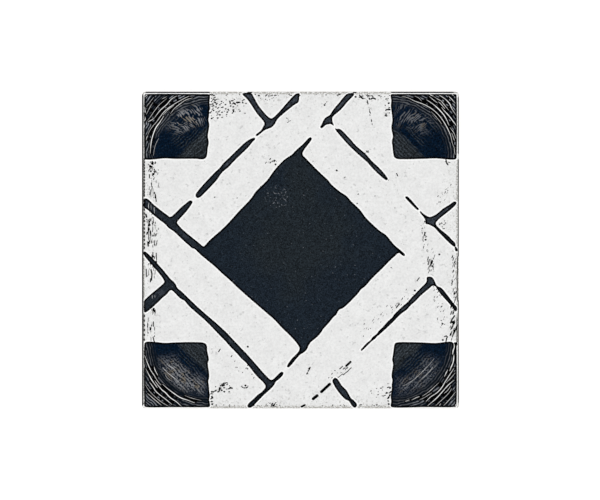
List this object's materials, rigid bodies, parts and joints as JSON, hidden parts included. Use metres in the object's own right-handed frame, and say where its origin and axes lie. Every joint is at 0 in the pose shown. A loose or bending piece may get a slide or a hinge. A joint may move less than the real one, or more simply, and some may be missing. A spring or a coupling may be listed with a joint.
{
  "type": "patterned floor tile",
  "caption": "Square pressed floor tile with a black and white strapwork face, a cushioned edge and a keyed back, laid in adhesive edge to edge.",
  "frame": {"origin": "middle of the back, on the plane of its ribs, which is the bottom of the tile as it lies", "axes": "+Z out of the patterned face, +X and +Y along the tile's edges, +Y towards the top of the pattern"},
  "size_m": [0.2, 0.2, 0.009],
  "materials": {
    "tile": "matte"
  },
  "bodies": {
    "root": {"tile": "tile"}
  },
  "joints": []
}
